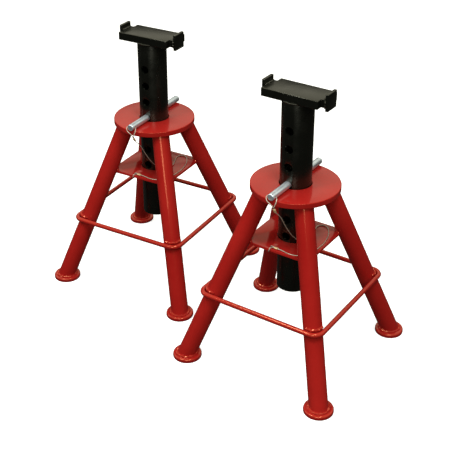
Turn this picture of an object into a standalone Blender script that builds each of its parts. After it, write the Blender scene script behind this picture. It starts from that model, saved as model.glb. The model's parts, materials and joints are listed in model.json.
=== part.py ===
"""A pair of four-legged, pin-type axle stands with a height-adjustable column.

Units are metres and +Z is up. Each stand is modelled about its own column axis: its saddle runs along the
stand's X, its locking pin along the stand's Y with the tethered end towards -Y, and its legs stand on the
diagonals. The pair's bounding box is centred on the origin, on the floor.
"""

import math

import bmesh
import bpy
from mathutils import Matrix, Vector

# Frame: the top plate, the lower guide plate and four tubular legs.
TOP_PLATE_DIAMETER = 0.198
TOP_PLATE_THICKNESS = 0.013
TOP_PLATE_HEIGHT = 0.425
TOP_PLATE_EDGE = 0.0015
LOWER_PLATE_THICKNESS = 0.006
LOWER_PLATE_HEIGHT = 0.293
LOWER_PLATE_INSET = 0.0042
LEG_DIAMETER = 0.042
LEG_WALL = 0.0035
LEG_RIM_INSET = 0.009
FOOT_CIRCLE_RADIUS = 0.243
FOOT_DIAMETER = 0.066
FOOT_THICKNESS = 0.0095
FOOT_EDGE = 0.004

# The square ring of bent rod outside the legs.
RING_HEIGHT = 0.168
RING_ROD_DIAMETER = 0.011
RING_BEND_RADIUS = LEG_DIAMETER / 2 + 0.001
RING_SEAM_OFFSET = 0.006

# Column, with its row of cross holes counted from the top.
COLUMN_DIAMETER = 0.070
COLUMN_WALL = 0.006
COLUMN_LENGTH = 0.456
HOLE_COUNT = 7
HOLE_PITCH = 0.042
TOP_HOLE_DROP = 0.0631
PINNED_HOLE = 3

# Saddle: a plate with a relieved corner at each end, and an upright tab on each end.
SADDLE_LENGTH = 0.143
SADDLE_WIDTH = 0.068
SADDLE_THICKNESS = 0.019
SADDLE_EDGE = 0.0012
NOTCH_LENGTH = 0.0085
NOTCH_WIDTH = 0.016
TAB_THICKNESS = 0.007
TAB_WIDTH = 0.037
TAB_RISE = 0.012
LEFT_TAB_DROP = 0.0
RIGHT_TAB_DROP = 0.007

# Locking pin.
PIN_DIAMETER = 0.016
PIN_LENGTH = 0.208
PIN_CHAMFER = 0.0012
PIN_EYE_DIAMETER = 0.004
PIN_EYE_INSET = 0.009

# Tether: a thin steel cable with a loop and a crimped sleeve at each end.
WIRE_DIAMETER = 0.002
SLEEVE_LENGTH = 0.009
SLEEVE_WIDTH = 0.0066
SLEEVE_DEPTH = 0.0044
SLEEVE_EDGE = 0.0007
PIN_LOOP_LEAD = 0.005
ANCHOR_LOOP_LEAD = 0.003
ANCHOR_HOLE_DIAMETER = 0.005
ANCHOR_EDGE_DISTANCE = 0.0095
ANCHOR_SIDE = -0.016

# Fits and gaps.
SLIDE_CLEARANCE = 0.0012
PIN_CLEARANCE = 0.002
WELD_GAP = 0.0003
SCALLOP_CLEARANCE = 0.0005

# The pair: how far the second stand is from the first, and how far it is turned.
PAIR_STEP_X = 0.464
PAIR_STEP_Y = 0.106
PAIR_TURN = math.radians(4.1)

# Sides of the round pieces, and the spacing of points along each wire.
PLATE_SIDES = 56
COLUMN_SIDES = 40
LEG_SIDES = 24
PAD_SIDES = 28
HOLE_SIDES = 20
SMALL_SIDES = 16
BEND_STEPS = 6
CABLE_SPACING = 0.0045
PIN_LOOP_SPACING = 0.0026
ANCHOR_LOOP_SPACING = 0.0024

# Heights and places that follow from the sizes above.
LEG_TOP = TOP_PLATE_HEIGHT - TOP_PLATE_THICKNESS - WELD_GAP
LEG_BOTTOM = FOOT_THICKNESS + WELD_GAP
PIN_HEIGHT = TOP_PLATE_HEIGHT + PIN_DIAMETER / 2 + WELD_GAP
HOLE_DIAMETER = PIN_DIAMETER + 2 * PIN_CLEARANCE
PINNED_HOLE_HEIGHT = PIN_HEIGHT - PIN_CLEARANCE + WELD_GAP
COLUMN_TOP = PINNED_HOLE_HEIGHT + PINNED_HOLE * HOLE_PITCH + TOP_HOLE_DROP
SADDLE_BOTTOM = COLUMN_TOP + WELD_GAP
GUIDE_BORE = COLUMN_DIAMETER + 2 * SLIDE_CLEARANCE
WIRE_LIE = LOWER_PLATE_HEIGHT + WIRE_DIAMETER / 2 + WELD_GAP


def leg_section(diameter):
    """Half-widths of a leg's level section, along its lean and across it, and the leg's slope."""
    top_reach = TOP_PLATE_DIAMETER / 2 - LEG_RIM_INSET - LEG_DIAMETER / 2
    slope = (FOOT_CIRCLE_RADIUS - top_reach) / (LEG_TOP - LEG_BOTTOM)
    stretch = math.sqrt(1 + slope * slope)
    return diameter / 2 * stretch, diameter / 2, slope


def leg_radius(height):
    """Distance of a leg's centre line from the column's axis at a height."""
    slope = leg_section(LEG_DIAMETER)[2]
    return FOOT_CIRCLE_RADIUS - slope * (height - LEG_BOTTOM)


def ring_half_side():
    """Half the side of the rod ring, to the rod's centre line, so that it lies against the legs."""
    along, across, _ = leg_section(LEG_DIAMETER)
    leg_reach = leg_radius(RING_HEIGHT) / math.sqrt(2) + math.hypot(along, across) / math.sqrt(2)
    return leg_reach + WELD_GAP + RING_ROD_DIAMETER / 2


def lower_plate_half_side():
    """Half the side of the lower plate, which stops short of the legs' centre lines."""
    return leg_radius(LOWER_PLATE_HEIGHT) / math.sqrt(2) - LOWER_PLATE_INSET


def clear_scene():
    for old in list(bpy.data.objects):
        bpy.data.objects.remove(old, do_unlink=True)


def collection(name, hidden=False):
    made = bpy.data.collections.new(name)
    made.hide_render = hidden
    bpy.context.scene.collection.children.link(made)
    return made


def material(name, color, roughness, metallic, coat=0.0):
    made = bpy.data.materials.new(name)
    made.use_nodes = True
    shader = made.node_tree.nodes["Principled BSDF"]
    shader.inputs["Base Color"].default_value = (*color, 1)
    shader.inputs["Roughness"].default_value = roughness
    shader.inputs["Metallic"].default_value = metallic
    shader.inputs["Coat Weight"].default_value = coat
    return made


clear_scene()
PARTS = collection("axle_jack_stands")
CUTTERS = collection("cutters", hidden=True)
RED_ENAMEL = material("red_enamel", (0.42, 0.012, 0.012), 0.25, 0.0, coat=0.6)
BLACK_ENAMEL = material("black_enamel", (0.012, 0.012, 0.013), 0.38, 0.0, coat=0.3)
ZINC_PLATE = material("zinc_plate", (0.62, 0.64, 0.66), 0.28, 1.0)
STEEL_WIRE = material("steel_wire", (0.55, 0.55, 0.54), 0.35, 1.0)
BRASS = material("brass", (0.52, 0.38, 0.2), 0.35, 1.0)


def add_object(name, data, parent=None, place=(0, 0, 0), turn=0.0, group=None):
    made = bpy.data.objects.new(name, data)
    (group or PARTS).objects.link(made)
    made.parent = parent
    made.location = place
    made.rotation_euler = (0, 0, turn)
    return made


def add_mesh(name, shape, coat, parent, place=(0, 0, 0), turn=0.0):
    """Turn a bmesh into a named object with its own material, shaded smooth with sharp edges kept."""
    mesh = bpy.data.meshes.new(name)
    bmesh.ops.recalc_face_normals(shape, faces=shape.faces)
    shape.to_mesh(mesh)
    shape.free()
    mesh.materials.append(coat)
    mesh.shade_smooth()
    mesh.set_sharp_from_angle(angle=math.radians(35))
    return add_object(name, mesh, parent, place, turn)


def add_cutter(name, shape, parent, place=(0, 0, 0), turn=0.0):
    mesh = bpy.data.meshes.new(name)
    bmesh.ops.recalc_face_normals(shape, faces=shape.faces)
    shape.to_mesh(mesh)
    shape.free()
    made = add_object(name, mesh, parent, place, turn, CUTTERS)
    made.hide_render = True
    made.display_type = "WIRE"
    return made


def cut(target, cutter):
    step = target.modifiers.new("cut_" + cutter.name, "BOOLEAN")
    step.operation = "DIFFERENCE"
    step.object = cutter


def soften(target, width, segments=1):
    step = target.modifiers.new("soft_edges", "BEVEL")
    step.width = width
    step.segments = segments
    step.limit_method = "ANGLE"
    step.angle_limit = math.radians(50)


def cylinder(shape, diameter, length, sides, matrix=None):
    bmesh.ops.create_cone(
        shape,
        cap_ends=True,
        segments=sides,
        radius1=diameter / 2,
        radius2=diameter / 2,
        depth=length,
        matrix=matrix or Matrix(),
    )


def box(shape, size, centre):
    matrix = Matrix.Translation(centre) @ Matrix.Diagonal((*size, 1))
    bmesh.ops.create_cube(shape, size=1, matrix=matrix)


def turned(name, profile, sides, coat, parent, place=(0, 0, 0), closed=False):
    """A profile of (radius, height) points, from the top down its outer side, turned about Z."""
    mesh = bpy.data.meshes.new(name)
    last = len(profile) - 1
    edges = [(i, i + 1) for i in range(last)]
    if closed:
        edges.append((last, 0))
    mesh.from_pydata([(radius, 0, height) for radius, height in profile], edges, [])
    mesh.materials.append(coat)
    made = add_object(name, mesh, parent, place)
    step = made.modifiers.new("turn", "SCREW")
    step.steps = sides
    step.render_steps = sides
    step.use_merge_vertices = True
    step.merge_threshold = 0.00001
    step.use_smooth_shade = True
    return made


def arc(centre_radius, centre_height, radius, start, end, steps):
    """Points of an arc in a turned profile, with angles in degrees from the outward direction."""
    angles = [math.radians(start + (end - start) * i / steps) for i in range(steps + 1)]
    return [
        (centre_radius + radius * math.cos(a), centre_height + radius * math.sin(a)) for a in angles
    ]


def smooth_route(points, spacing):
    """Evenly spaced points along a smooth Catmull-Rom curve through a route's own points."""
    route = [Vector(p) for p in points]
    padded = [2 * route[0] - route[1], *route, 2 * route[-1] - route[-2]]
    fine = []
    for a, b, c, d in zip(padded, padded[1:], padded[2:], padded[3:]):
        for i in range(40):
            t = i / 40
            fine.append(
                0.5
                * (
                    2 * b
                    + (c - a) * t
                    + (2 * a - 5 * b + 4 * c - d) * t * t
                    + (3 * b - a - 3 * c + d) * t**3
                )
            )
    fine.append(route[-1])
    total = sum((q - p).length for p, q in zip(fine, fine[1:]))
    count = max(2, round(total / spacing))
    spaced, walked, wanted = [fine[0]], 0.0, total / count
    for p, q in zip(fine, fine[1:]):
        stretch = (q - p).length
        while walked + stretch >= wanted * len(spaced) and len(spaced) < count:
            spaced.append(p.lerp(q, (wanted * len(spaced) - walked) / stretch))
        walked += stretch
    return [*spaced, fine[-1]]


def wire(name, points, diameter, coat, parent, place=(0, 0, 0), turn=0.0, resolution=2):
    """A round wire along points, as a curve with filled caps."""
    curve = bpy.data.curves.new(name, "CURVE")
    curve.dimensions = "3D"
    curve.bevel_depth = diameter / 2
    curve.bevel_resolution = resolution
    curve.use_fill_caps = True
    spline = curve.splines.new("POLY")
    spline.points.add(len(points) - 1)
    for point, at in zip(spline.points, points):
        point.co = (*at, 1)
    spline.use_smooth = True
    curve.materials.append(coat)
    return add_object(name, curve, parent, place, turn)


def leg_matrix(angle):
    """Stands an upright tube on its foot's centre, leaning in to the top plate, with level ends."""
    along, across, slope = leg_section(LEG_DIAMETER)
    lean = Matrix.Identity(4)
    lean[0][0] = along / across
    lean[0][2] = -slope
    return Matrix.Rotation(angle, 4, "Z") @ Matrix.Translation((FOOT_CIRCLE_RADIUS, 0, LEG_BOTTOM)) @ lean


def make_top_plate(stand):
    outer, inner = TOP_PLATE_DIAMETER / 2, GUIDE_BORE / 2
    top, bottom = TOP_PLATE_HEIGHT, TOP_PLATE_HEIGHT - TOP_PLATE_THICKNESS
    profile = [(inner, top)]
    profile += arc(outer - TOP_PLATE_EDGE, top - TOP_PLATE_EDGE, TOP_PLATE_EDGE, 90, 0, 1)
    profile += arc(outer - TOP_PLATE_EDGE, bottom + TOP_PLATE_EDGE, TOP_PLATE_EDGE, 0, -90, 1)
    profile.append((inner, bottom))
    turned(stand.name("top_plate"), profile, PLATE_SIDES, RED_ENAMEL, stand.frame, closed=True)


def make_lower_plate(stand):
    side = 2 * lower_plate_half_side()
    middle = LOWER_PLATE_HEIGHT - LOWER_PLATE_THICKNESS / 2
    shape = bmesh.new()
    box(shape, (side, side, LOWER_PLATE_THICKNESS), (0, 0, 0))
    plate = add_mesh(stand.name("lower_plate"), shape, RED_ENAMEL, stand.frame, (0, 0, middle))

    bore = bmesh.new()
    cylinder(bore, GUIDE_BORE, 3 * LOWER_PLATE_THICKNESS, COLUMN_SIDES)
    cut(plate, add_cutter(stand.name("guide_bore_cutter"), bore, stand.frame, (0, 0, middle)))

    eye = bmesh.new()
    cylinder(eye, ANCHOR_HOLE_DIAMETER, 3 * LOWER_PLATE_THICKNESS, SMALL_SIDES)
    cut(plate, add_cutter(stand.name("anchor_cutter"), eye, stand.frame, (*anchor_hole(), middle)))

    scallops = bmesh.new()
    for quarter in range(4):
        tube = bmesh.new()
        cylinder(tube, LEG_DIAMETER + 2 * SCALLOP_CLEARANCE, 2 * LEG_TOP, LEG_SIDES)
        bmesh.ops.transform(tube, matrix=leg_matrix(leg_angle(quarter)), verts=tube.verts)
        mesh = bpy.data.meshes.new("scallop")
        tube.to_mesh(mesh)
        tube.free()
        scallops.from_mesh(mesh)
        bpy.data.meshes.remove(mesh)
    cut(plate, add_cutter(stand.name("scallop_cutter"), scallops, stand.frame))


def leg_angle(quarter):
    return math.radians(-45 + 90 * quarter)


def anchor_hole():
    """Centre of the hole in the lower plate that the tether is looped through."""
    return ANCHOR_SIDE, ANCHOR_EDGE_DISTANCE - lower_plate_half_side()


def make_leg(stand, quarter, side_name):
    """One leg, a leaning tube with level ends, open at both of them."""
    shape = bmesh.new()
    length = LEG_TOP - LEG_BOTTOM
    inner = LEG_DIAMETER / 2 - LEG_WALL
    outer = LEG_DIAMETER / 2
    corners = [(inner, 0), (outer, 0), (outer, length), (inner, length)]
    loop = [shape.verts.new((radius, 0, height)) for radius, height in corners]
    edges = [shape.edges.new((loop[i], loop[(i + 1) % 4])) for i in range(4)]
    bmesh.ops.spin(
        shape,
        geom=loop + edges,
        axis=(0, 0, 1),
        cent=(0, 0, 0),
        angle=2 * math.pi,
        steps=LEG_SIDES,
        use_merge=True,
    )
    bmesh.ops.remove_doubles(shape, verts=shape.verts, dist=0.00001)
    foot_place = Matrix.Rotation(leg_angle(quarter), 4, "Z") @ Vector((FOOT_CIRCLE_RADIUS, 0, LEG_BOTTOM))
    to_foot = Matrix.Translation(-foot_place)
    bmesh.ops.transform(shape, matrix=to_foot @ leg_matrix(leg_angle(quarter)), verts=shape.verts)
    add_mesh(stand.name("leg_" + side_name), shape, RED_ENAMEL, stand.frame, foot_place)


def make_foot(stand, quarter, side_name):
    """One foot, a thick round pad with a rounded rim."""
    rim = FOOT_DIAMETER / 2 - FOOT_EDGE
    profile = [(0, FOOT_THICKNESS)]
    profile += arc(rim, FOOT_THICKNESS - FOOT_EDGE, FOOT_EDGE, 90, 0, 3)
    profile += [(FOOT_DIAMETER / 2, FOOT_EDGE / 4), (FOOT_DIAMETER / 2 - FOOT_EDGE / 4, 0), (0, 0)]
    place = Matrix.Rotation(leg_angle(quarter), 4, "Z") @ Vector((FOOT_CIRCLE_RADIUS, 0, 0))
    turned(stand.name("foot_" + side_name), profile, PAD_SIDES, RED_ENAMEL, stand.frame, place)


def make_ring_rod(stand, quarter, side_name):
    """One side of the rod ring with the bend that ends it, laid along the stand's side."""
    half = ring_half_side()
    straight = half - RING_BEND_RADIUS
    seam = RING_SEAM_OFFSET - straight
    points = [Vector((seam + WELD_GAP, -half, 0)), Vector((straight, -half, 0))]
    for i in range(1, BEND_STEPS + 1):
        angle = math.radians(-90 + 90 * i / BEND_STEPS)
        bend = Vector((math.cos(angle), math.sin(angle), 0)) * RING_BEND_RADIUS
        points.append(Vector((straight, -straight, 0)) + bend)
    points.append(Vector((half, seam, 0)))
    wire(
        stand.name("ring_rod_" + side_name),
        points,
        RING_ROD_DIAMETER,
        RED_ENAMEL,
        stand.frame,
        (0, 0, RING_HEIGHT),
        math.radians(90 * quarter),
        resolution=3,
    )


def make_column(stand):
    """The lifting column: a tube with a row of cross holes, its origin on the slide's axis."""
    outer, inner = COLUMN_DIAMETER / 2, COLUMN_DIAMETER / 2 - COLUMN_WALL
    profile = [(inner, 0), (outer, 0), (outer, -COLUMN_LENGTH), (inner, -COLUMN_LENGTH)]
    column = turned(stand.name("column"), profile, COLUMN_SIDES, BLACK_ENAMEL, stand.mast, closed=True)
    holes = bmesh.new()
    across = Matrix.Rotation(math.pi / 2, 4, "X")
    for count in range(HOLE_COUNT):
        height = -TOP_HOLE_DROP - count * HOLE_PITCH
        place = Matrix.Translation((0, 0, height)) @ across
        cylinder(holes, HOLE_DIAMETER, 2 * COLUMN_DIAMETER, HOLE_SIDES, place)
    cut(column, add_cutter(stand.name("hole_cutter"), holes, stand.mast))


def make_saddle(stand):
    """The saddle plate, relieved at two opposite corners, and the tab on each of its ends."""
    middle = SADDLE_BOTTOM - COLUMN_TOP + SADDLE_THICKNESS / 2
    shape = bmesh.new()
    box(shape, (SADDLE_LENGTH, SADDLE_WIDTH, SADDLE_THICKNESS), (0, 0, 0))
    plate = add_mesh(stand.name("saddle_plate"), shape, BLACK_ENAMEL, stand.mast, (0, 0, middle))
    notches = bmesh.new()
    for side in (1, -1):
        corner = (side * SADDLE_LENGTH / 2, -side * SADDLE_WIDTH / 2, 0)
        box(notches, (2 * NOTCH_LENGTH, 2 * NOTCH_WIDTH, 2 * SADDLE_THICKNESS), corner)
    cut(plate, add_cutter(stand.name("notch_cutter"), notches, stand.mast, (0, 0, middle)))
    soften(plate, SADDLE_EDGE)

    for side, side_name, drop in ((-1, "left", LEFT_TAB_DROP), (1, "right", RIGHT_TAB_DROP)):
        height = TAB_RISE + SADDLE_THICKNESS + drop
        tab = bmesh.new()
        box(tab, (TAB_THICKNESS, TAB_WIDTH, height), (0, 0, height / 2))
        across = side * (SADDLE_LENGTH / 2 + WELD_GAP + TAB_THICKNESS / 2)
        place = (across, 0, SADDLE_BOTTOM - COLUMN_TOP - drop)
        bar = add_mesh(stand.name("saddle_tab_" + side_name), tab, BLACK_ENAMEL, stand.mast, place)
        soften(bar, SADDLE_EDGE)


def make_locking_pin(stand):
    """The locking pin, with a cross hole near its tethered end."""
    radius, half = PIN_DIAMETER / 2, PIN_LENGTH / 2
    profile = [
        (0, half),
        (radius - PIN_CHAMFER, half),
        (radius, half - PIN_CHAMFER),
        (radius, PIN_CHAMFER - half),
        (radius - PIN_CHAMFER, -half),
        (0, -half),
    ]
    pin = turned(stand.name("locking_pin"), profile, PAD_SIDES, ZINC_PLATE, stand.pin)
    pin.rotation_euler = (math.pi / 2, 0, 0)
    eye = bmesh.new()
    cylinder(eye, PIN_EYE_DIAMETER, 2 * PIN_DIAMETER, SMALL_SIDES, Matrix.Rotation(math.pi / 2, 4, "Y"))
    cut(pin, add_cutter(stand.name("eye_cutter"), eye, stand.pin, (0, PIN_EYE_INSET - half, 0)))


def sleeve(stand, name, coat, parent, place, direction):
    """A crimped oval sleeve centred at a place, along a direction."""
    shape = bmesh.new()
    cylinder(shape, 1, SLEEVE_LENGTH, SMALL_SIDES, Matrix.Diagonal((SLEEVE_WIDTH, SLEEVE_DEPTH, 1, 1)))
    made = add_mesh(stand.name(name), shape, coat, parent, place)
    made.rotation_euler = Vector(direction).to_track_quat("Z", "Y").to_euler()
    soften(made, SLEEVE_EDGE)


# The tether's route in a stand's own frame. Points on the lower plate lie on its top face.
PIN_EYE = Vector((0, PIN_EYE_INSET - PIN_LENGTH / 2, PIN_HEIGHT))
PIN_SLEEVE_PLACE = PIN_EYE + Vector((0.0125, -0.0115, -0.0258))
PIN_SLEEVE_AXIS = Vector((0.16, 0.36, -0.92)).normalized()
ANCHOR_SLEEVE_AXIS = Vector((1, -0.03, 0)).normalized()


def anchor_sleeve_place():
    across, along = anchor_hole()
    lift = LOWER_PLATE_HEIGHT + SLEEVE_DEPTH / 2 + WELD_GAP
    return Vector((across + 0.0155, along - 0.0025, lift))


def cable_route():
    """The slack cable: from the pin's sleeve down past the column, once round on the lower plate, and
    back along the plate's front edge to the anchor."""
    reach = SLEEVE_LENGTH / 2 + WELD_GAP
    start = PIN_SLEEVE_PLACE + PIN_SLEEVE_AXIS * reach
    end = anchor_sleeve_place() + ANCHOR_SLEEVE_AXIS * reach
    return [
        start,
        (0.0195, -0.0920, 0.3860),
        (0.0255, -0.0780, 0.3570),
        (0.0320, -0.0620, 0.3310),
        (0.0400, -0.0440, 0.3120),
        (0.0450, -0.0240, 0.3005),
        (0.0450, -0.0020, WIRE_LIE + 0.0012),
        (0.0405, 0.0190, WIRE_LIE),
        (0.0325, 0.0380, WIRE_LIE),
        (0.0275, 0.0530, WIRE_LIE),
        (0.0285, 0.0640, WIRE_LIE),
        (0.0360, 0.0705, WIRE_LIE),
        (0.0465, 0.0680, WIRE_LIE),
        (0.0590, 0.0530, WIRE_LIE),
        (0.0680, 0.0330, WIRE_LIE),
        (0.0735, 0.0090, WIRE_LIE),
        (0.0745, -0.0150, WIRE_LIE),
        (0.0725, -0.0370, WIRE_LIE),
        (0.0680, -0.0560, WIRE_LIE),
        (0.0580, -0.0690, WIRE_LIE),
        (0.0440, -0.0760, WIRE_LIE),
        (0.0310, -0.0775, WIRE_LIE + 0.0002),
        (0.0185, end.y - 0.0012, end.z - 0.0006),
        end,
    ]


def pin_loop_route():
    """The loop through the pin's cross hole, with both ends at the pin's sleeve."""
    across = Vector((WIRE_DIAMETER / 2 + WELD_GAP, 0, 0))
    head = PIN_SLEEVE_PLACE - PIN_SLEEVE_AXIS * (SLEEVE_LENGTH / 2 + WELD_GAP)
    back = -PIN_SLEEVE_AXIS * PIN_LOOP_LEAD
    return [
        head + across,
        head + across + back / 2,
        head + across + back,
        PIN_EYE + Vector((0.0145, -0.0105, -0.0075)),
        PIN_EYE + Vector((0.0125, -0.0045, -0.0015)),
        PIN_EYE + Vector((0.0075, 0, 0)),
        PIN_EYE + Vector((-0.0075, 0, 0)),
        PIN_EYE + Vector((-0.0120, -0.0055, -0.0025)),
        PIN_EYE + Vector((-0.0065, -0.0120, -0.0080)),
        PIN_EYE + Vector((0.0035, -0.0140, -0.0125)),
        head - across + back,
        head - across + back / 2,
        head - across,
    ]


def anchor_loop_route():
    """The loop through the lower plate's hole and round its edge, with both ends at the anchor's sleeve."""
    across, along = anchor_hole()
    hole = Vector((across, along, 0))
    edge = -lower_plate_half_side()
    clear = WIRE_DIAMETER / 2 + WELD_GAP
    under = LOWER_PLATE_HEIGHT - LOWER_PLATE_THICKNESS - clear
    over = WIRE_LIE
    sleeve_place = anchor_sleeve_place()
    head = sleeve_place - ANCHOR_SLEEVE_AXIS * (SLEEVE_LENGTH / 2 + WELD_GAP)
    part = Vector((0, clear, 0))
    back = -ANCHOR_SLEEVE_AXIS * ANCHOR_LOOP_LEAD
    return [
        head + part,
        head + part + back / 2,
        head + part + back,
        hole + Vector((0.0015, 0, over + 0.0008)),
        hole + Vector((0, 0, over - 0.003)),
        hole + Vector((0, 0, under + 0.001)),
        hole + Vector((0, -0.002, under - 0.0009)),
        Vector((across + 0.001, edge + 0.001, under - 0.0009)),
        Vector((across + 0.002, edge - clear - 0.0008, under + 0.003)),
        Vector((across + 0.003, edge - clear - 0.0008, over - 0.003)),
        Vector((across + 0.0045, edge + 0.001, over + 0.0012)),
        head - part + back,
        head - part + back / 2,
        head - part,
    ]


def make_tether(stand):
    """The wires and sleeves. The loop through the pin and the sleeve it ends in go with the pin."""
    pin_centre = Vector((0, 0, PIN_HEIGHT))
    pin_loop = [point - pin_centre for point in smooth_route(pin_loop_route(), PIN_LOOP_SPACING)]
    anchor_loop = smooth_route(anchor_loop_route(), ANCHOR_LOOP_SPACING)
    cable = smooth_route(cable_route(), CABLE_SPACING)
    for name, line, parent in (
        ("tether_cable", cable, stand.frame),
        ("pin_loop", pin_loop, stand.pin),
        ("anchor_loop", anchor_loop, stand.frame),
    ):
        wire(stand.name(name), line, WIRE_DIAMETER, STEEL_WIRE, parent)
    sleeve(stand, "pin_sleeve", BRASS, stand.pin, PIN_SLEEVE_PLACE - pin_centre, PIN_SLEEVE_AXIS)
    sleeve(stand, "anchor_sleeve", BRASS, stand.frame, anchor_sleeve_place(), ANCHOR_SLEEVE_AXIS)


class Stand:
    """One stand's empties: its frame, and its mast and pin, each on its own slide's axis."""

    def __init__(self, label, place, turn):
        self.label = label
        self.frame = add_object(label + "_frame", None, place=place, turn=turn)
        self.mast = add_object(label + "_mast", None, self.frame, (0, 0, COLUMN_TOP))
        self.pin = add_object(label + "_pin", None, self.frame, (0, 0, PIN_HEIGHT))

    def name(self, part):
        return self.label + "_" + part


def make_stand(label, place, turn):
    stand = Stand(label, place, turn)
    make_top_plate(stand)
    make_lower_plate(stand)
    for quarter, side_name in enumerate(("front", "right", "back", "left")):
        make_leg(stand, quarter, side_name)
        make_foot(stand, quarter, side_name)
        make_ring_rod(stand, quarter, side_name)
    make_column(stand)
    make_saddle(stand)
    make_locking_pin(stand)
    make_tether(stand)


def foot_reach(turn):
    """How far a turned stand's feet reach from its axis, the same along X and Y."""
    return FOOT_CIRCLE_RADIUS * math.cos(math.pi / 4 - turn) + FOOT_DIAMETER / 2


def make_pair():
    """Both stands, placed so that the pair's bounding box is centred on the origin."""
    extra = foot_reach(PAIR_TURN) - foot_reach(0)
    first = Vector(((PAIR_STEP_X + extra) / 2, -(PAIR_STEP_Y + extra) / 2, 0))
    make_stand("stand_a", first, 0.0)
    make_stand("stand_b", first + Vector((-PAIR_STEP_X, PAIR_STEP_Y, 0)), PAIR_TURN)


make_pair()
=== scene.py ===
"""Looks for a pair of pin-type axle stands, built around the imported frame. Lengths are in metres."""

import json
import math

import bmesh
import bpy
from mathutils import Matrix, Vector, noise


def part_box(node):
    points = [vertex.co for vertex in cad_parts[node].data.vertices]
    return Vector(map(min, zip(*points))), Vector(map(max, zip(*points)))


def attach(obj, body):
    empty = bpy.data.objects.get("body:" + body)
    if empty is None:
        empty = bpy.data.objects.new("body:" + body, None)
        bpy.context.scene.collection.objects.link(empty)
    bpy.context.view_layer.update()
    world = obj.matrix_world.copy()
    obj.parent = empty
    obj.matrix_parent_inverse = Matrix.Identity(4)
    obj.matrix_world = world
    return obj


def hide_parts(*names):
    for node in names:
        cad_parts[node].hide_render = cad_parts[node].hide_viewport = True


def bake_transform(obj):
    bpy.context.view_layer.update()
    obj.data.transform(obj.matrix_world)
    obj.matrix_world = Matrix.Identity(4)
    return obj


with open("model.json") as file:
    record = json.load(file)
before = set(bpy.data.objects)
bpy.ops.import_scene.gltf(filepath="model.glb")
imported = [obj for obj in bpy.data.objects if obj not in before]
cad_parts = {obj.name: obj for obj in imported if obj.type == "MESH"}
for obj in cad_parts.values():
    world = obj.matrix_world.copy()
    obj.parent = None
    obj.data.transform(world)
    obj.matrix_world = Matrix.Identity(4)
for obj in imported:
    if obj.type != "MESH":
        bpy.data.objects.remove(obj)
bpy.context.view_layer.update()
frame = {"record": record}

scene = bpy.context.scene

STANDS = ("stand_a", "stand_b")
SIDES = ("front", "right", "back", "left")

# Sizes that the boxes of the CAD nodes don't give.
LEG_DIAMETER = 0.042
LEG_WALL = 0.0035
LEG_RIM_INSET = 0.009
RING_ROD_DIAMETER = 0.011
RING_BEND_RADIUS = 0.022
COLUMN_DIAMETER = 0.070
COLUMN_WALL = 0.006
SLIDE_CLEARANCE = 0.0012
HOLE_COUNT = 7
HOLE_DIAMETER = 0.020
HOLE_PITCH = 0.042
PINNED_HOLE = 3
PIN_CLEARANCE = 0.002
NOTCH_LENGTH = 0.0085
NOTCH_WIDTH = 0.016
PIN_DIAMETER = 0.016
PIN_CHAMFER = 0.0012
PIN_EYE_DIAMETER = 0.004
PIN_EYE_INSET = 0.009
WIRE_DIAMETER = 0.002
SLEEVE_LENGTH = 0.009
SLEEVE_WIDTH = 0.0066
SLEEVE_DEPTH = 0.0044
ANCHOR_HOLE_DIAMETER = 0.005
ANCHOR_EDGE_DISTANCE = 0.0095
ANCHOR_SIDE = -0.016
SCALLOP_CLEARANCE = 0.0005
WELD_GAP = 0.0003
# How far the flats of the CAD's many-sided foot lie inside a round one.
FOOT_FLAT_DEPTH = 0.0001


def mount_place(name):
    found = next(m for m in frame["record"]["mounts"] if m["name"] == name)
    return Vector(found["pos_m"])


def span(node):
    """Size of a node's box along X, Y and Z."""
    low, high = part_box(node)
    return high - low


class Stand:
    """Where one stand is. All its pieces are made in its own frame, with the column's axis as Z."""

    def __init__(self, label):
        self.label = label
        low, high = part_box(label + "_column")
        axis = (low + high) / 2
        foot = mount_place(label + "_foot_front") - axis
        turn = math.atan2(foot.y, foot.x) + math.pi / 4
        self.matrix = Matrix.Translation((axis.x, axis.y, 0)) @ Matrix.Rotation(turn, 4, "Z")

    def node(self, name):
        return self.label + "_" + name


# Heights and sizes read from the first stand's CAD, whose frame is square to the world.
A_COLUMN_LOW, A_COLUMN_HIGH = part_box("stand_a_column")
A_AXIS = Vector(((A_COLUMN_LOW.x + A_COLUMN_HIGH.x) / 2, (A_COLUMN_LOW.y + A_COLUMN_HIGH.y) / 2, 0))
COLUMN_BOTTOM, COLUMN_TOP = A_COLUMN_LOW.z, A_COLUMN_HIGH.z
TOP_PLATE_BOTTOM, TOP_PLATE_TOP = (corner.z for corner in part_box("stand_a_top_plate"))
TOP_PLATE_RADIUS = span("stand_a_top_plate").y / 2
LOWER_PLATE_BOTTOM, LOWER_PLATE_TOP = (corner.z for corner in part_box("stand_a_lower_plate"))
LOWER_PLATE_HALF = span("stand_a_lower_plate").x / 2
FOOT_RADIUS = span("stand_a_foot_front").x / 2 - FOOT_FLAT_DEPTH
FOOT_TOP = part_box("stand_a_foot_front")[1].z
FOOT_CIRCLE = (mount_place("stand_a_foot_front") - A_AXIS).length
RING_HEIGHT = sum(corner.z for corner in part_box("stand_a_ring_rod_front")) / 2
RING_HALF = A_AXIS.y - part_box("stand_a_ring_rod_front")[0].y - RING_ROD_DIAMETER / 2
PIN_LOW, PIN_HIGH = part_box("stand_a_locking_pin")
PIN_LENGTH = PIN_HIGH.y - PIN_LOW.y
PIN_HEIGHT = (PIN_LOW.z + PIN_HIGH.z) / 2
SADDLE_BOTTOM, SADDLE_TOP = (corner.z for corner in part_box("stand_a_saddle_plate"))
SADDLE_LENGTH, SADDLE_WIDTH = span("stand_a_saddle_plate").xy
GUIDE_BORE = COLUMN_DIAMETER + 2 * SLIDE_CLEARANCE
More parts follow.
